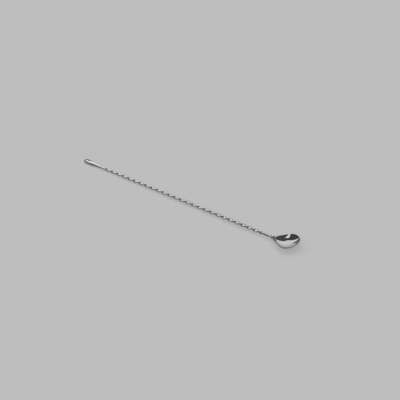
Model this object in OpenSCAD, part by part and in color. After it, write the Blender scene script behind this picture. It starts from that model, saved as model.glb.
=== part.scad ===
// Bar spoon with a teardrop counterweight, a twisted shaft and a stamped bowl, lying as it rests on a table.
// The spoon is drawn along its own axis, +X from the weight's free end to the bowl's tip, with +Z as the hollow
// side of the bowl. It is then tipped so that the weight and the underside of the bowl both touch z = 0.

/* [Overall] */
// Length from the weight's free end to the tip of the bowl
total_len = 300; // [260:1:400]

/* [Counterweight] */
// Length of the turned teardrop
weight_len = 26; // [20:0.5:45]
// Largest radius of the teardrop
weight_r = 3.1; // [2.6:0.1:6]
// Distance from the free end to the fattest place
weight_belly = 7.5; // [5:0.5:12]
// Radius of the teardrop's mouth, where the shaft goes in
mouth_r = 1.8; // [1.8:0.05:2.4]
// Depth of the blind bore from the mouth
bore_depth = 9; // [6:0.5:12]

/* [Shaft] */
// Radius of the plain round end next to the weight
shaft_end_r = 1.55; // [1.4:0.05:1.7]
// Length of that plain round end
shaft_end_len = 4; // [2:0.5:12]
// Width of the flat bar across its two edges
bar_w = 4; // [3:0.1:5]
// Thickness of the flat bar
bar_t = 2.4; // [1.8:0.1:3]
// Length of one full turn of the twist
twist_pitch = 16.7; // [12:0.1:40]
// Direction of the twist
twist_hand = -1; // [-1:left-handed, 1:right-handed]
// Length over which the bar changes from round to flat
blend_len = 6; // [3:0.5:12]
// Radius of the tenon that fits in the weight
tenon_r = 1.15; // [1:0.05:1.2]
// Length of the tenon
tenon_len = 8; // [5:0.5:10]

/* [Neck] */
// Radius of the round neck, at the weld
neck_r = 1.4; // [1.3:0.05:1.9]
// Length of the shaft's plain round end next to the weld
neck_end_len = 3; // [2:0.5:8]
// Distance from the weld to where the bowl starts to widen
neck_len = 4; // [3:0.5:15]
// Depth of the bevel that each side has at the weld
weld_bevel = 0.7; // [0.4:0.1:1]

/* [Bowl] */
// Length of the bowl from where it widens to its tip
bowl_len = 37; // [28:0.5:45]
// Width of the bowl over its rim
bowl_w = 26.5; // [18:0.5:32]
// Depth of the hollow below the rim
bowl_depth = 8; // [5:0.1:9]
// Thickness of the bowl's sheet
sheet_t = 1.1; // [0.8:0.1:1.5]
// Angle at which the rim rises from the shaft's axis
bowl_pitch = 12.6; // [0:0.2:15]

/* [Hidden] */
$fn = 64;
STEEL = "silver";
FILLER = "darkgray";
FIT = 0.05;               // radial clearance of the tenon in its bore
SINK = 1;                 // how far the twisted stretch runs into the round ends
SKIN = 0.02;              // how far the twisted stretch stays inside their surface

// Places along the axis, from the weight's free end.
shaft_start = weight_len;
weld_x = total_len - bowl_len - neck_len;
twist_start = shaft_start + shaft_end_len;
twist_end = weld_x - neck_end_len;
widen_x = total_len - bowl_len;

function smooth(k) = let (c = min(1, max(0, k))) c * c * (3 - 2 * c);
function mix(a, b, k) = a + (b - a) * k;

// ---- Counterweight ----

DOME_STEPS = 14;
TAIL_STEPS = 16;
DOME_POWER = 2.6;
DOME_ROUND = 2.4;
bore_r = tenon_r + FIT;
sink_r = shaft_end_r - FIT;         // mouth radius of the countersink
sink_depth = sink_r - bore_r;       // it is cut at 45 degrees

// Radius of the dome, k running from 0 at the free end to 1 at the belly.
function dome_r(k) = weight_r * pow(1 - pow(1 - k, DOME_POWER), 1 / DOME_ROUND);

// Points [distance from the free end, radius] of the teardrop's outline.
weight_outline = concat(
    [for (i = [0:DOME_STEPS]) let (k = pow(i / DOME_STEPS, 2)) [weight_belly * k, dome_r(k)]],
    [for (i = [1:TAIL_STEPS])
        let (k = i / TAIL_STEPS)
        [mix(weight_belly, weight_len, k), mix(weight_r, mouth_r, smooth(k))]]
);

// Turns an outline of [distance, radius] points about the spoon's axis.
module turned(points) {
    rotate([0, 90, 0])
        rotate_extrude()
            polygon([for (p = points) [p[1], p[0]]]);
}

module weight_body() {
    turned(concat(
        weight_outline,
        [
            [weight_len, sink_r],
            [weight_len - sink_depth, bore_r],
            [weight_len - bore_depth, bore_r],
            [weight_len - bore_depth, 0]
        ]
    ));
}

// The filler lies in the countersink and against the shaft's shoulder.
module braze_body() {
    turned([
        [weight_len - sink_depth, bore_r],
        [weight_len, sink_r],
        [weight_len, tenon_r],
        [weight_len - sink_depth, tenon_r]
    ]);
}

// ---- Shaft ----

SECTION_POINTS = 16;
TURN_STEPS = 18;
SECTION_POWER = 2.8;      // 2 is an ellipse, and a larger value squares the bar's corners
twist_steps = ceil((twist_end - twist_start + 2 * SINK) / twist_pitch * TURN_STEPS);

// Distance from the bar's centre to its surface at angle a, for half width p and half thickness q.
function bar_r(a, p, q) = pow(
    pow(abs(cos(a)) / p, SECTION_POWER) + pow(abs(sin(a)) / q, SECTION_POWER),
    -1 / SECTION_POWER
);

// Radius of the round end nearest to x.
function round_r(x) = (x < total_len / 2 ? shaft_end_r : neck_r) - SKIN;

// 0 where the bar is round and 1 where it is flat.
function flatness(x) = min(
    smooth((x - twist_start) / blend_len),
    smooth((twist_end - x) / blend_len)
);

function bar_section(x) =
    let (turn = twist_hand * 360 * (x - twist_start) / twist_pitch, f = flatness(x))
    [for (i = [0:SECTION_POINTS - 1])
        let (a = 360 * i / SECTION_POINTS, r = mix(round_r(x), bar_r(a, bar_w / 2, bar_t / 2), f))
        [x, r * cos(a + turn), r * sin(a + turn)]];

// Skin of a closed solid through rings of the same number of points, each running anticlockwise seen from +X.
function loft_sides(rings, count) = [
    for (i = [0:rings - 2], j = [0:count - 1])
        let (a = i * count + j, b = i * count + (j + 1) % count)
        each [[a, a + count, b + count], [a, b + count, b]]
];

module loft(sections) {
    count = len(sections[0]);
    rings = len(sections);
    polyhedron(
        points = [for (ring = sections, p = ring) p],
        faces = concat(
            loft_sides(rings, count),
            [[for (j = [0:count - 1]) j]],
            [[for (j = [count - 1:-1:0]) (rings - 1) * count + j]]
        ),
        convexity = 10
    );
}

module twisted_bar() {
    loft([for (i = [0:twist_steps]) bar_section(mix(twist_start - SINK, twist_end + SINK, i / twist_steps))]);
}

module shaft_body() {
    twisted_bar();
    turned([
        [shaft_start - tenon_len, 0],
        [shaft_start - tenon_len, tenon_r],
        [shaft_start, tenon_r],
        [shaft_start, shaft_end_r],
        [twist_start, shaft_end_r],
        [twist_start, 0]
    ]);
    turned([
        [twist_end, 0],
        [twist_end, neck_r],
        [weld_x - weld_bevel, neck_r],
        [weld_x, neck_r - weld_bevel],
        [weld_x, 0]
    ]);
}

// ---- Weld ----

// The weld fills the groove between the two bevels, level with the neck.
module weld_body() {
    turned([
        [weld_x - weld_bevel, neck_r],
        [weld_x, neck_r - weld_bevel],
        [weld_x + weld_bevel, neck_r]
    ]);
}

// ---- Bowl ----

WIDEST = 0.65;            // where the bowl is widest, as a part of its length
NECK_STEPS = 8;
FLARE_STEPS = 22;
FRONT_STEPS = 18;
ACROSS = 20;              // points across each face of the bowl
RIM_POWER = 2.2;          // steepness of the hollow's side walls
DEEPEST_POWER = 1.4;      // a larger value puts the deepest place nearer to the tip
HOLLOW_POWER = 0.9;       // a smaller value makes the hollow's two ends steeper
SHEET_FROM = 0.3;         // where the round neck has become sheet, as a part of the bowl's length
CAP = 1.6;                // most that a steep wall's height may exceed the sheet's thickness

bar_neck_r = neck_r - SKIN;         // the lofted neck starts just inside the stub at the weld

// Half width of the outline at u, which is 0 where the bowl starts to widen and 1 at its tip.
function half_w(u) =
    u <= 0 ? bar_neck_r :
    u < WIDEST ? mix(bar_neck_r, bowl_w / 2, 1 - pow(1 - pow(u / WIDEST, 2), 2)) :
    bowl_w / 2 * sqrt(max(0, 1 - pow((u - WIDEST) / (1 - WIDEST), 2)));

// Depth of the hollow below the rim along the centre line.
function hollow(u) = u <= 0 ? 0 : bowl_depth * pow(sin(180 * pow(u, DEEPEST_POWER)), HOLLOW_POWER);

// 0 where the section is a round bar and 1 where it is sheet.
function sheetness(u) = smooth(u / SHEET_FROM);

// Height of the rim's plane above the spoon's axis: it bends up between the weld and BEND_TO.
BEND_TO = 0.22;
bend_from = -neck_len / bowl_len;
bend_run = (BEND_TO - bend_from) * bowl_len;
function rim_z(u) =
    let (k = min(1, max(0, (u - bend_from) / (BEND_TO - bend_from))))
    tan(bowl_pitch) * (bend_run * (pow(k, 3) - pow(k, 4) / 2) + max(0, u - BEND_TO) * bowl_len);

// Half of the wall's height at v, which runs from -1 to 1 across the bowl: a round bar or a round-edged sheet.
function half_wall(u, v) =
    let (
        w = half_w(u),
        slope = hollow(u) * RIM_POWER * pow(abs(v), RIM_POWER - 1) / max(w, 0.1),
        edge = min(1, w * (1 - abs(v)) / (sheet_t / 2)),
        sheet = sheet_t / 2 * min(CAP, sqrt(1 + slope * slope)) * sqrt(1 - pow(1 - edge, 2)),
        bar = min(w, bar_neck_r) * sqrt(1 - v * v)
    )
    mix(bar, sheet, sheetness(u));

function bowl_point(u, v, side) = [
    widen_x + u * bowl_len,
    half_w(u) * v,
    rim_z(u) - hollow(u) * (1 - pow(abs(v), RIM_POWER)) - sheet_t / 2 * sheetness(u) + side * half_wall(u, v)
];

// One closed ring: the upper face from +Y to -Y, then the lower face back.
function bowl_ring(u) = concat(
    [for (j = [0:ACROSS - 1]) bowl_point(u, cos(180 * j / ACROSS), 1)],
    [for (j = [0:ACROSS - 1]) bowl_point(u, -cos(180 * j / ACROSS), -1)]
);

neck_u = -neck_len / bowl_len;
bevel_u = weld_bevel / bowl_len;
LAST_U = 0.9985;
bowl_stations = concat(
    [for (i = [0:NECK_STEPS]) mix(neck_u + bevel_u + 0.01, 0, i / NECK_STEPS)],
    [for (i = [1:FLARE_STEPS]) WIDEST * i / FLARE_STEPS],
    [for (i = [1:FRONT_STEPS]) mix(WIDEST, LAST_U, sin(90 * i / FRONT_STEPS))]
);

module bowl_body() {
    loft([for (u = bowl_stations) bowl_ring(u)]);
    turned([
        [weld_x, 0],
        [weld_x, neck_r - weld_bevel],
        [weld_x + weld_bevel, neck_r],
        [weld_x + weld_bevel + SINK, neck_r],
        [weld_x + weld_bevel + SINK, 0]
    ]);
}

// ---- Placing ----

// The lowest place of the bowl, as [distance along the axis, height].
bowl_bottoms = [for (u = bowl_stations) bowl_point(u, 0, -1)];
bowl_low = min([for (p = bowl_bottoms) p[2]]);
bowl_touch = [for (p = bowl_bottoms) if (p[2] == bowl_low) p[0]][0];
tip_angle = atan((-weight_r - bowl_low) / (bowl_touch - weight_belly));
lift = max([for (p = weight_outline) p[1] * cos(tip_angle) - p[0] * sin(tip_angle)]);

// Tips the spoon onto the table and puts the middle of its length over the origin.
module at_rest() {
    translate([-total_len / 2, 0, lift])
        rotate([0, -tip_angle, 0])
            children();
}

module bowl() { color(STEEL) at_rest() bowl_body(); }
module neck_weld() { color(FILLER) at_rest() weld_body(); }
module twisted_shaft() { color(STEEL) at_rest() shaft_body(); }
module weight() { color(STEEL) at_rest() weight_body(); }
module weight_braze() { color(FILLER) at_rest() braze_body(); }

bowl();
neck_weld();
twisted_shaft();
weight();
weight_braze();
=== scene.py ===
"""A teardrop bar spoon in polished stainless steel, lying on a pale studio floor.

Every piece is drawn along the spoon's own axis, s running from the counterweight's free end to the tip of
the bowl, and is then laid down as the CAD model lies. Lengths are in metres.
"""
import math
import bpy
from mathutils import Matrix, Quaternion, Vector


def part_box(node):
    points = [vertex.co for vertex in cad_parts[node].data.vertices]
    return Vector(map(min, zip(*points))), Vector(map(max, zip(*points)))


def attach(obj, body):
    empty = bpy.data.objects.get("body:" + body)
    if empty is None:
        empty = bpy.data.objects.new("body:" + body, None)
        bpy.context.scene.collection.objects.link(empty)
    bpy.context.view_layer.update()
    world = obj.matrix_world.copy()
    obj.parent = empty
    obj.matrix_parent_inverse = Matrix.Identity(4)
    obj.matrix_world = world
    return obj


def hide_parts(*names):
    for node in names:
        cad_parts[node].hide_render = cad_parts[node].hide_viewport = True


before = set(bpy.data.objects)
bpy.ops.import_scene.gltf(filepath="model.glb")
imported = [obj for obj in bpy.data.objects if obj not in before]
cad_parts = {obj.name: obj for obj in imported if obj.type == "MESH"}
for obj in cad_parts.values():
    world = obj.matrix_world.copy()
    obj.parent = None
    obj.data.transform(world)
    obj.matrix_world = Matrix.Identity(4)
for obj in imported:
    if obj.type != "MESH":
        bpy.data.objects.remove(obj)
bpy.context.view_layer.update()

MM = 0.001
BODY = "root"

# ---- The spoon's dimensions, as the CAD model has them ----

TOTAL_LEN = 300 * MM
WEIGHT_LEN = 26 * MM
WEIGHT_R = 3.1 * MM
WEIGHT_BELLY = 7.5 * MM
MOUTH_R = 1.8 * MM
BORE_DEPTH = 9 * MM
SHAFT_END_R = 1.55 * MM
SHAFT_END_LEN = 4 * MM
BAR_W = 4 * MM
BAR_T = 2.4 * MM
TWIST_PITCH = 16.7 * MM
TWIST_HAND = -1
BLEND_LEN = 6 * MM
TENON_R = 1.15 * MM
TENON_LEN = 8 * MM
FIT = 0.05 * MM
NECK_R = 1.4 * MM
NECK_END_LEN = 3 * MM
NECK_LEN = 4 * MM
WELD_BEVEL = 0.7 * MM
BOWL_LEN = 37 * MM
BOWL_W = 26.5 * MM
BOWL_DEPTH = 8 * MM
SHEET_T = 1.1 * MM
BOWL_PITCH = math.radians(12.6)

# Places along the axis.
WELD_S = TOTAL_LEN - BOWL_LEN - NECK_LEN
WIDEN_S = TOTAL_LEN - BOWL_LEN
TWIST_FROM = WEIGHT_LEN + SHAFT_END_LEN
TWIST_TO = WELD_S - NECK_END_LEN


def middle(node):
    """The middle of a CAD node's box."""
    low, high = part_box(node)
    return (Vector(low) + Vector(high)) / 2


def laid_down():
    """The matrix from the spoon's own axis to the frame.

    The weld and the braze are rings round that axis, so it runs through the middles of both.
    """
    weld = middle("neck_weld")
    along = (weld - middle("weight_braze")).normalized()
    across = Vector((0, 1, 0))
    up = along.cross(across)
    start = weld - along * WELD_S
    turn = Matrix((along, across, up)).transposed().to_4x4()
    return Matrix.Translation(start) @ turn


LAY = laid_down()


# ---- Mesh tools ----

SHARP_ANGLE = math.radians(40)
TURNED_POINTS = 96                       # round the weight, the weld and the braze


def smooth(k):
    """0 to 1 with level ends."""
    k = min(1.0, max(0.0, k))
    return k * k * (3 - 2 * k)


def mix(a, b, k):
    return a + (b - a) * k


def piece(name, points, faces, material, node):
    """A piece of the spoon from points on its own axis, standing for a CAD node."""
    mesh = bpy.data.meshes.new(name)
    mesh.from_pydata([LAY @ Vector(p) for p in points], [], faces)
    mesh.polygons.foreach_set("use_smooth", [True] * len(mesh.polygons))
    mesh.set_sharp_from_angle(angle=SHARP_ANGLE)
    mesh.materials.append(material)
    obj = bpy.data.objects.new(name, mesh)
    bpy.context.scene.collection.objects.link(obj)
    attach(obj, BODY)
    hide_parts(node)


def side_faces(rings, count):
    """Quads round a row of rings that each hold the same number of points."""
    faces = []
    for i in range(rings - 1):
        for j in range(count):
            a = i * count + j
            b = i * count + (j + 1) % count
            faces.append((a, a + count, b + count, b))
    return faces


def solid(rings):
    """Points and faces of a closed solid through rings that start at its -s end."""
    count = len(rings[0])
    faces = side_faces(len(rings), count)
    faces.append(tuple(range(count)))
    last = (len(rings) - 1) * count
    faces.append(tuple(last + j for j in reversed(range(count))))
    return [p for ring in rings for p in ring], faces


def collar(rings):
    """Points and faces of a closed band: the last ring joins the first."""
    count = len(rings[0])
    faces = side_faces(len(rings), count)
    last = (len(rings) - 1) * count
    faces += [(last + j, j, (j + 1) % count, last + (j + 1) % count) for j in range(count)]
    return [p for ring in rings for p in ring], faces


def circle(s, radius, count):
    turns = [2 * math.pi * j / count for j in range(count)]
    return [(s, radius * math.cos(a), radius * math.sin(a)) for a in turns]


# ---- Materials ----

def noise(tree, inputs, scale):
    """Noise on the object's coordinates, stretched by a scale in cells a metre along X, Y and Z."""
    coords = tree.nodes.new("ShaderNodeTexCoord")
    mapping = tree.nodes.new("ShaderNodeMapping")
    mapping.inputs["Scale"].default_value = scale
    node = tree.nodes.new("ShaderNodeTexNoise")
    for name, value in inputs.items():
        node.inputs[name].default_value = value
    tree.links.new(coords.outputs["Object"], mapping.inputs["Vector"])
    tree.links.new(mapping.outputs["Vector"], node.inputs["Vector"])
    return node.outputs[0]


def remap(tree, value, from_range, to_range):
    """The value moved from one range to another, and held inside it."""
    node = tree.nodes.new("ShaderNodeMapRange")
    node.clamp = True
    node.inputs["From Min"].default_value, node.inputs["From Max"].default_value = from_range
    node.inputs["To Min"].default_value, node.inputs["To Max"].default_value = to_range
    tree.links.new(value, node.inputs["Value"])
    return node.outputs["Result"]


def add(tree, *values):
    """The sum of several values."""
    total = values[0]
    for value in values[1:]:
        node = tree.nodes.new("ShaderNodeMath")
        node.operation = "ADD"
        tree.links.new(total, node.inputs[0])
        tree.links.new(value, node.inputs[1])
        total = node.outputs[0]
    return total


# Noise of the polishing lines, the smudges and the hairline scratches, and scales in cells a metre.
LINE_NOISE = {"Scale": 1.0, "Detail": 3.0, "Roughness": 0.6}
SMUDGE_NOISE = {"Scale": 1.0, "Detail": 5.0, "Roughness": 0.55, "Distortion": 0.8}
HAIRLINE_NOISE = {"Scale": 1.0, "Detail": 1.0, "Distortion": 0.4}
SMUDGE_SCALE = (70, 160, 160)
HAIRLINE_SCALE = (260, 5200, 5200)
LENGTHWISE = (60, 7000, 7000)
ROUND_THE_NECK = (9000, 500, 500)

# Which part of each noise counts, from where it has no effect to where it has its full effect.
LINE_RANGE = (0.3, 0.7)
SMUDGE_RANGE = (0.45, 0.75)
HAIRLINE_RANGE = (0.70, 0.74)
TONE_FROM = 0.3
TONE_TO = 0.65

# What each adds to the roughness, and how the relief is made.
SMUDGE_DULLING = 0.07
LINE_DULLING = 0.025
SCRATCH_DULLING = 0.12
LINE_RELIEF = 0.5
RELIEF_STRENGTH = 0.35


def steel(name, dark, light, rough, grain, relief):
    """Polished metal with fine polishing lines, soft smudges that dull it, and a few hairline scratches.

    dark and light are the two tones it drifts between, rough is its roughness, grain is the polishing lines'
    scale along X, Y and Z, and relief is the depth of the scratches.
    """
    material = bpy.data.materials.new(name)
    material.use_nodes = True
    tree = material.node_tree
    shader = tree.nodes["Principled BSDF"]
    shader.inputs["Metallic"].default_value = 1.0

    lines = noise(tree, LINE_NOISE, grain)
    smudges = noise(tree, SMUDGE_NOISE, SMUDGE_SCALE)
    hairlines = noise(tree, HAIRLINE_NOISE, HAIRLINE_SCALE)
    scratches = remap(tree, hairlines, HAIRLINE_RANGE, (0.0, 1.0))

    tones = tree.nodes.new("ShaderNodeValToRGB")
    tones.color_ramp.elements[0].position = TONE_FROM
    tones.color_ramp.elements[0].color = (*dark, 1)
    tones.color_ramp.elements[1].position = TONE_TO
    tones.color_ramp.elements[1].color = (*light, 1)
    tree.links.new(smudges, tones.inputs["Fac"])
    tree.links.new(tones.outputs["Color"], shader.inputs["Base Color"])

    dulling = remap(tree, smudges, SMUDGE_RANGE, (0.0, SMUDGE_DULLING))
    streaks = remap(tree, lines, LINE_RANGE, (rough - LINE_DULLING, rough + LINE_DULLING))
    worn = remap(tree, scratches, (0.0, 1.0), (0.0, SCRATCH_DULLING))
    tree.links.new(add(tree, streaks, dulling, worn), shader.inputs["Roughness"])

    bump = tree.nodes.new("ShaderNodeBump")
    bump.inputs["Strength"].default_value = RELIEF_STRENGTH
    bump.inputs["Distance"].default_value = relief
    ridges = remap(tree, lines, (0.0, 1.0), (0.0, LINE_RELIEF))
    grooves = remap(tree, scratches, (0.0, 1.0), (0.0, -1.0))
    tree.links.new(add(tree, ridges, grooves), bump.inputs["Height"])
    tree.links.new(bump.outputs["Normal"], shader.inputs["Normal"])
    return material


POLISHED = steel("polished_steel", dark=(0.66, 0.66, 0.665), light=(0.74, 0.74, 0.745),
                 rough=0.07, grain=LENGTHWISE, relief=0.0006 * MM)
WELD_METAL = steel("weld_metal", dark=(0.50, 0.50, 0.51), light=(0.60, 0.60, 0.61),
                   rough=0.2, grain=ROUND_THE_NECK, relief=0.002 * MM)
BRAZE_METAL = steel("braze_metal", dark=(0.56, 0.55, 0.52), light=(0.66, 0.65, 0.61),
                    rough=0.17, grain=ROUND_THE_NECK, relief=0.002 * MM)


# ---- Counterweight ----

DOME_POWER = 2.6
DOME_ROUND = 2.4
EDGE_BREAK = 0.08 * MM
BORE_R = TENON_R + FIT
SINK_R = SHAFT_END_R - FIT
SINK_DEPTH = SINK_R - BORE_R


def weight_radius(s):
    """Radius of the teardrop at distance s from its free end."""
    if s < WEIGHT_BELLY:
        return WEIGHT_R * (1 - (1 - s / WEIGHT_BELLY) ** DOME_POWER) ** (1 / DOME_ROUND)
    return mix(WEIGHT_R, MOUTH_R, smooth((s - WEIGHT_BELLY) / (WEIGHT_LEN - WEIGHT_BELLY)))


def build_weight():
    """The teardrop, with a broken edge at its mouth and a countersunk bore for the shaft's tenon."""
    steps = 140
    crowding = 1.8                       # draws the rings together at the free end
    outside = [(WEIGHT_LEN - EDGE_BREAK) * (i / steps) ** crowding for i in range(1, steps + 1)]
    outline = [(s, weight_radius(s)) for s in outside]
    outline += [
        (WEIGHT_LEN, MOUTH_R - EDGE_BREAK),
        (WEIGHT_LEN, SINK_R),
        (WEIGHT_LEN - SINK_DEPTH, BORE_R),
        (WEIGHT_LEN - BORE_DEPTH, BORE_R),
    ]
    points, faces = solid([circle(s, radius, TURNED_POINTS) for s, radius in outline])
    piece("counterweight", points, faces, POLISHED, "weight")


# ---- Shaft ----

SECTION_POWER = 2.8


def bar_radius(angle):
    """Distance from the flat bar's centre to its surface."""
    return ((abs(math.cos(angle)) / (BAR_W / 2)) ** SECTION_POWER
            + (abs(math.sin(angle)) / (BAR_T / 2)) ** SECTION_POWER) ** (-1 / SECTION_POWER)


def shaft_ring(s, count):
    """The section at s: round at both ends and a turning flat bar between them."""
    turn = TWIST_HAND * 2 * math.pi * (s - TWIST_FROM) / TWIST_PITCH
    flat = min(smooth((s - TWIST_FROM) / BLEND_LEN), smooth((TWIST_TO - s) / BLEND_LEN))
    round_r = SHAFT_END_R if s < TOTAL_LEN / 2 else NECK_R
    ring = []
    for j in range(count):
        angle = 2 * math.pi * j / count
        radius = mix(round_r, bar_radius(angle), flat)
        ring.append((s, radius * math.cos(angle + turn), radius * math.sin(angle + turn)))
    return ring


def build_shaft():
    """The twisted bar, from the tenon inside the weight to the bevel at the weld."""
    count = 64
    step = 0.25 * MM
    end = WELD_S - WELD_BEVEL
    steps = round((end - WEIGHT_LEN) / step)
    bar = [shaft_ring(mix(WEIGHT_LEN, end, i / steps), count) for i in range(steps + 1)]
    first_turn = math.atan2(bar[0][0][2], bar[0][0][1])
    turns = [2 * math.pi * j / count + first_turn for j in range(count)]
    tenon = [[(s, TENON_R * math.cos(turn), TENON_R * math.sin(turn)) for turn in turns]
             for s in (WEIGHT_LEN - TENON_LEN, WEIGHT_LEN)]
    narrower = (NECK_R - WELD_BEVEL) / NECK_R
    bevel = [[(WELD_S, y * narrower, z * narrower) for _, y, z in bar[-1]]]
    points, faces = solid(tenon + bar + bevel)
    piece("twisted_bar", points, faces, POLISHED, "twisted_shaft")


# ---- Bowl ----

# Along the bowl, u is 0 where it starts to widen and 1 at its tip.
WIDEST = 0.65                            # the u of the greatest width
DEEPEST_POWER = 1.4                      # above 1 moves the deepest place towards the tip
HOLLOW_POWER = 0.9                       # below 1 makes the hollow fuller along its length
RIM_POWER = 2.2                          # above 2 makes the hollow fuller across its width
SHEET_FROM = 0.3                         # the u where the solid neck has become sheet
CAP = 1.6                                # the most that a steep wall adds to its height
BEND_FROM = -NECK_LEN / BOWL_LEN         # the rim bends upwards from here to BEND_TO
BEND_TO = 0.22
LAST_U = 0.9995                          # the last ring, just short of the tip
LEAST_WIDTH = 0.1 * MM


def half_width(u):
    """Half width of the outline at u."""
    if u <= 0:
        return NECK_R
    if u < WIDEST:
        return mix(NECK_R, BOWL_W / 2, 1 - (1 - (u / WIDEST) ** 2) ** 2)
    return BOWL_W / 2 * math.sqrt(max(0.0, 1 - ((u - WIDEST) / (1 - WIDEST)) ** 2))


def hollow(u):
    """Depth of the hollow below the rim along the centre line."""
    if u <= 0:
        return 0.0
    return BOWL_DEPTH * max(0.0, math.sin(math.pi * u ** DEEPEST_POWER)) ** HOLLOW_POWER


def sheetness(u):
    """0 where the section is a round bar and 1 where it is sheet."""
    return smooth(u / SHEET_FROM)


def rim_height(u):
    """Height of the rim's plane above the spoon's axis."""
    k = min(1.0, max(0.0, (u - BEND_FROM) / (BEND_TO - BEND_FROM)))
    run = (BEND_TO - BEND_FROM) * BOWL_LEN
    return math.tan(BOWL_PITCH) * (run * (k ** 3 - k ** 4 / 2) + max(0.0, u - BEND_TO) * BOWL_LEN)


def half_wall(u, v):
    """Half of the wall's height at v, which runs from -1 to 1 across the bowl."""
    w = half_width(u)
    slope = hollow(u) * RIM_POWER * abs(v) ** (RIM_POWER - 1) / max(w, LEAST_WIDTH)
    edge = min(1.0, w * (1 - abs(v)) / (SHEET_T / 2))
    sheet = SHEET_T / 2 * min(CAP, math.sqrt(1 + slope * slope)) * math.sqrt(1 - (1 - edge) ** 2)
    bar = min(w, NECK_R) * math.sqrt(max(0.0, 1 - v * v))
    return mix(bar, sheet, sheetness(u))


def bowl_point(u, v, side):
    """A point of the upper face, for side 1, or the lower face, for side -1."""
    sheet = SHEET_T / 2 * sheetness(u)
    height = rim_height(u) - hollow(u) * (1 - abs(v) ** RIM_POWER) - sheet + side * half_wall(u, v)
    return (WIDEN_S + u * BOWL_LEN, half_width(u) * v, height)


def bowl_ring(u, across):
    """The section at u, over the upper face and back along the lower face."""
    upper = [bowl_point(u, math.cos(math.pi * j / across), 1) for j in range(across)]
    lower = [bowl_point(u, -math.cos(math.pi * j / across), -1) for j in range(across)]
    return upper + lower


def build_bowl():
    """The stamped bowl with its round neck, which starts with a bevel at the weld."""
    across = 80
    neck_steps = 24
    flare_steps = 80
    front_steps = 60
    start = (WELD_BEVEL - NECK_LEN) / BOWL_LEN
    stations = [mix(start, 0, i / neck_steps) for i in range(neck_steps + 1)]
    stations += [WIDEST * i / flare_steps for i in range(1, flare_steps + 1)]
    stations += [mix(WIDEST, LAST_U, math.sin(math.pi / 2 * i / front_steps))
                 for i in range(1, front_steps + 1)]
    bevel = circle(WELD_S, NECK_R - WELD_BEVEL, 2 * across)
    points, faces = solid([bevel] + [bowl_ring(u, across) for u in stations])
    piece("spoon_bowl", points, faces, POLISHED, "bowl")


# ---- Weld and braze ----

WELD_CROWN = 0.035 * MM
BRAZE_LEG = 0.22 * MM


def build_weld():
    """The weld in the groove between both bevels, ground down to a low crown."""
    steps = 12
    turns = [math.pi * i / steps for i in range(steps + 1)]
    crown = [(WELD_S - WELD_BEVEL * math.cos(turn), NECK_R + WELD_CROWN * math.sin(turn)) for turn in turns]
    outline = crown + [(WELD_S, NECK_R - WELD_BEVEL)]
    points, faces = collar([circle(s, radius, TURNED_POINTS) for s, radius in outline])
    piece("weld_bead", points, faces, WELD_METAL, "neck_weld")


def build_braze():
    """The braze in the weight's countersink, with the small hollow fillet that it leaves round the shaft."""
    steps = 8
    outline = [(WEIGHT_LEN - SINK_DEPTH, BORE_R), (WEIGHT_LEN, SINK_R)]
    for i in range(steps + 1):
        turn = math.pi / 2 * i / steps
        outline.append((WEIGHT_LEN + BRAZE_LEG * (1 - math.cos(turn)),
                        SHAFT_END_R + BRAZE_LEG * (1 - math.sin(turn))))
    outline += [(WEIGHT_LEN, SHAFT_END_R), (WEIGHT_LEN, TENON_R), (WEIGHT_LEN - SINK_DEPTH, TENON_R)]
    points, faces = collar([circle(s, radius, TURNED_POINTS) for s, radius in outline])
    piece("braze_fillet", points, faces, BRAZE_METAL, "weight_braze")


build_weight()
build_shaft()
build_bowl()
build_weld()
build_braze()


# ---- Studio ----

AZIMUTH = math.radians(33.8)
ELEVATION = math.radians(38)
LOOK_AT = Vector((9.8, 16.2, 0)) * MM
DISTANCE = 1160 * MM
SENSOR = 36
LENS = 89.26

# Level directions as the camera sees them.
FORWARD = Vector((-math.sin(AZIMUTH), math.cos(AZIMUTH), 0))
RIGHT = Vector((math.cos(AZIMUTH), math.sin(AZIMUTH), 0))

FLOOR_PAINT = 0.8
FLOOR_GLOW = 0.27
SURROUND_GLOW = 0.5
FLOOR_GLOW_IN_STEEL = 0.23
WORLD_LEVEL = 0.06
ROOM_R = 4.0
ROOM_POINTS = 64


def direction(azimuth, elevation):
    """A unit vector from angles in degrees.

    Azimuth 0 is beyond the spoon as the camera sees it, 90 is to its right and 180 is the camera's side.
    """
    a, e = math.radians(azimuth), math.radians(elevation)
    level = RIGHT * math.sin(a) + FORWARD * math.cos(a)
    return level * math.cos(e) + Vector((0, 0, math.sin(e)))


def build_camera():
    """The camera at the photograph's viewing angle."""
    back = direction(180, math.degrees(ELEVATION))
    data = bpy.data.cameras.new("camera")
    data.sensor_width = SENSOR
    data.lens = LENS
    obj = bpy.data.objects.new("camera", data)
    obj.location = LOOK_AT + back * DISTANCE
    obj.rotation_euler = (-back).to_track_quat("-Z", "Y").to_euler()
    bpy.context.scene.collection.objects.link(obj)
    bpy.context.scene.camera = obj


def matt(name, paint, glow):
    """A grey paint that also gives off a little light, which keeps the shadows on it faint."""
    material = bpy.data.materials.new(name)
    material.use_nodes = True
    shader = material.node_tree.nodes["Principled BSDF"]
    shader.inputs["Base Color"].default_value = (paint, paint, paint, 1)
    shader.inputs["Roughness"].default_value = 1.0
    shader.inputs["Specular IOR Level"].default_value = 0.0
    shader.inputs["Emission Color"].default_value = (1, 1, 1, 1)
    shader.inputs["Emission Strength"].default_value = glow
    return material


def stage_sheet(name, points, faces, material, in_steel):
    """Part of the set, which either the camera or only the polished steel sees."""
    mesh = bpy.data.meshes.new(name)
    mesh.from_pydata(points, [], faces)
    mesh.materials.append(material)
    obj = bpy.data.objects.new(name, mesh)
    obj.visible_glossy = in_steel
    obj.visible_camera = not in_steel
    obj.visible_diffuse = False
    obj.visible_shadow = False
    bpy.context.scene.collection.objects.link(obj)


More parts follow.
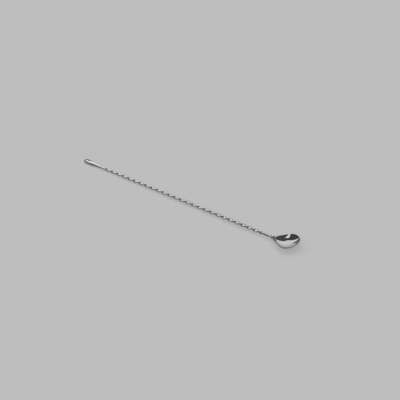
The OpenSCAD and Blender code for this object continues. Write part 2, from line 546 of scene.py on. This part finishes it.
def room_circle(z):
    """Points round the room at height z."""
    turns = [2 * math.pi * j / ROOM_POINTS for j in range(ROOM_POINTS)]
    return [(ROOM_R * math.cos(turn), ROOM_R * math.sin(turn), z) for turn in turns]


def build_set():
    """A pale floor and surround for the camera, and a glowing sheet just under the floor that only the steel
    sees: a painted reflection of a darker floor, which the steel's lower edges show.
    """
    below = -1 * MM
    whole = [tuple(range(ROOM_POINTS))]
    stage_sheet("floor", room_circle(0), whole, matt("floor", FLOOR_PAINT, FLOOR_GLOW), False)
    # Painted reflection: a black sheet that glows a little, which the steel shows in place of the pale
    # floor.
    painted_floor_reflection = matt("floor_in_steel", 0, FLOOR_GLOW_IN_STEEL)
    stage_sheet("floor_in_steel", room_circle(below), whole, painted_floor_reflection, True)
    walls = side_faces(2, ROOM_POINTS)
    pale_wall = matt("surround", 0, SURROUND_GLOW)
    stage_sheet("surround", room_circle(below) + room_circle(ROOM_R), walls, pale_wall, False)


def build_world():
    """A dim grey world, which the steel shows where it sees no card."""
    world = bpy.data.worlds.new("studio")
    world.use_nodes = True
    background = world.node_tree.nodes["Background"]
    background.inputs["Color"].default_value = (1, 1, 1, 1)
    background.inputs["Strength"].default_value = WORLD_LEVEL
    bpy.context.scene.world = world
    bpy.context.scene.view_settings.view_transform = "Standard"


def card(name, place, width, height, radiance, roll=0, pieces=()):
    """A white card turned to the spoon's middle, which shows only in the polished steel.

    It shows in every piece, or only in the named ones. radiance is how bright it looks, and roll is in
    degrees.
    """
    data = bpy.data.lights.new(name, "AREA")
    data.shape = "RECTANGLE"
    data.size = width
    data.size_y = height
    data.energy = radiance * math.pi * width * height
    obj = bpy.data.objects.new(name, data)
    obj.location = place
    turn = place.to_track_quat("Z", "Y") @ Quaternion((0, 0, 1), math.radians(roll))
    obj.rotation_euler = turn.to_euler()
    obj.visible_diffuse = False
    obj.visible_camera = False
    bpy.context.scene.collection.objects.link(obj)
    if pieces:
        lit = bpy.data.collections.new(name)
        for piece_name in pieces:
            lit.objects.link(bpy.data.objects[piece_name])
        obj.light_linking.receiver_collection = lit


def flag(name, place, facing, width, height):
    """A black card that shows only in the polished steel."""
    turn = (place - facing).to_track_quat("Z", "Y")
    corners = ((-1, -1), (1, -1), (1, 1), (-1, 1))
    points = [place + turn @ Vector((width / 2 * x, height / 2 * y, 0)) for x, y in corners]
    stage_sheet(name, points, [(0, 1, 2, 3)], matt(name, 0, 0), True)


def sun(name, toward, strength, spread):
    """A broad, soft light that falls evenly on the floor and doesn't show in the steel."""
    data = bpy.data.lights.new(name, "SUN")
    data.energy = strength
    data.angle = math.radians(spread)
    obj = bpy.data.objects.new(name, data)
    obj.rotation_euler = toward.to_track_quat("Z", "Y").to_euler()
    obj.visible_glossy = False
    bpy.context.scene.collection.objects.link(obj)


NOT_THE_BOWL = ("counterweight", "braze_fillet", "twisted_bar", "weld_bead")
WEIGHT_TOP = Vector((-143, 0, 5)) * MM   # on the fat end of the weight

build_camera()
build_set()
build_world()

# The light half of the bowl's hollow, and the upper edges of the shaft and the weight.
card("far_card", direction(-17.4, 49.9) * 1.168, width=1.87, height=2.71, radiance=0.72, roll=4.9)
# The small highlight on the dark side of the hollow.
card("front_card", direction(-165, 37.5) * 1.2, width=0.42, height=0.23, radiance=0.95, roll=-36)
# The bright stripe of the weight and the bright marks of the twist.
card("side_card", direction(-85, 38) * 0.6, width=0.4, height=0.5, radiance=0.74, pieces=NOT_THE_BOWL)
# The painted dark reflection on top of the weight, from a black card that only the steel sees.
flag("weight_flag", WEIGHT_TOP + direction(-20, 42) * 14 * MM, WEIGHT_TOP, width=14 * MM, height=11 * MM)
sun("soft_light", direction(-150, 75), strength=0.79, spread=100)
